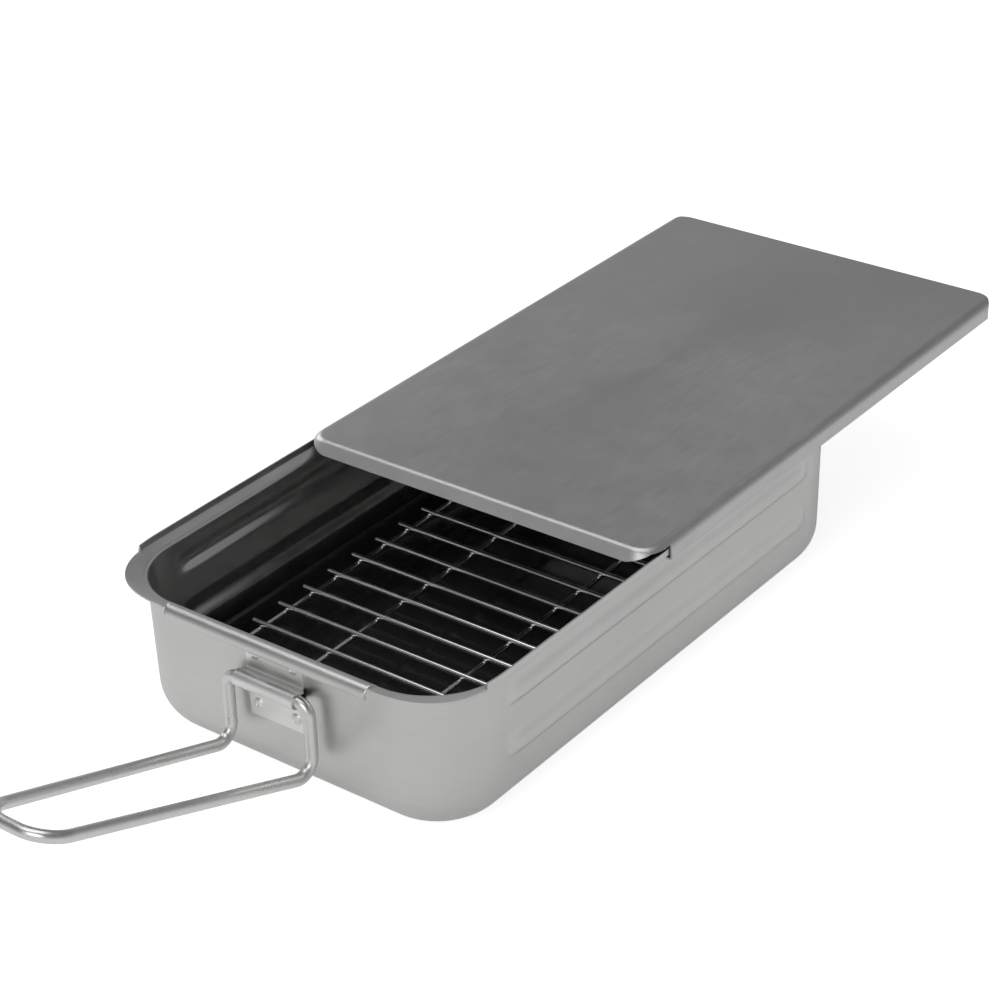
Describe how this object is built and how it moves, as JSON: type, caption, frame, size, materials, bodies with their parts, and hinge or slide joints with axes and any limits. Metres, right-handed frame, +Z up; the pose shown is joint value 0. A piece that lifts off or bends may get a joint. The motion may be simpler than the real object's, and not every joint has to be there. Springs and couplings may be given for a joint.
{
  "type": "stovetop smoker box",
  "caption": "Rectangular steel smoking pan with a lid that slides along its rim, a wire rack in a drip tray, and a folding wire handle at each end.",
  "frame": {"origin": "middle of the pan's flat underside", "axes": "+X the way the lid slides open, +Y across the pan, +Z up"},
  "size_m": [0.5566, 0.178, 0.0745],
  "materials": {
    "pan_steel": "satin",
    "lid_steel": "satin",
    "tray_coating": "gloss",
    "rack_wire": "polished",
    "handle_wire": "satin",
    "bracket_steel": "satin",
    "rivet_steel": "satin"
  },
  "bodies": {
    "pan": {"pan": "pan_steel", "front_bracket": "bracket_steel", "rear_bracket": "bracket_steel", "front_rivets": "rivet_steel", "rear_rivets": "rivet_steel"},
    "lid": {"lid": "lid_steel"},
    "drip_tray": {"drip_tray": "tray_coating"},
    "rack": {"rack_wire_01": "rack_wire", "rack_wire_02": "rack_wire", "rack_wire_03": "rack_wire", "rack_wire_04": "rack_wire", "rack_wire_05": "rack_wire", "rack_wire_06": "rack_wire", "rack_wire_07": "rack_wire", "rack_wire_08": "rack_wire", "rack_wire_09": "rack_wire", "rack_wire_10": "rack_wire", "rack_wire_11": "rack_wire", "rack_wire_12": "rack_wire", "rack_wire_13": "rack_wire", "rack_wire_14": "rack_wire", "rack_wire_15": "rack_wire", "rack_runner_1": "rack_wire", "rack_runner_2": "rack_wire", "rack_runner_3": "rack_wire", "rack_runner_4": "rack_wire", "rack_front_leg": "rack_wire", "rack_rear_leg": "rack_wire"},
    "front_handle": {"front_handle": "handle_wire"},
    "rear_handle": {"rear_handle": "handle_wire"}
  },
  "joints": [
    {"name": "lid_slide", "type": "slide", "parent": "pan", "child": "lid", "axis": [1, 0, 0], "range_m": [-0.124, 0.12]},
    {"name": "front_handle_fold", "type": "hinge", "parent": "pan", "child": "front_handle", "pos_m": [-0.14619, 0, 0.049], "axis": [0, 1, 0], "range_deg": [0, 160]},
    {"name": "rear_handle_fold", "type": "hinge", "parent": "pan", "child": "rear_handle", "pos_m": [0.14619, 0, 0.049], "axis": [0, -1, 0], "range_deg": [0, 2.5]},
    {"name": "tray_lift", "type": "slide", "parent": "pan", "child": "drip_tray", "axis": [0, 0, 1], "range_m": [0, 0.015]},
    {"name": "rack_lift", "type": "slide", "parent": "drip_tray", "child": "rack", "axis": [0, 0, 1], "range_m": [0, 0.025]}
  ]
}
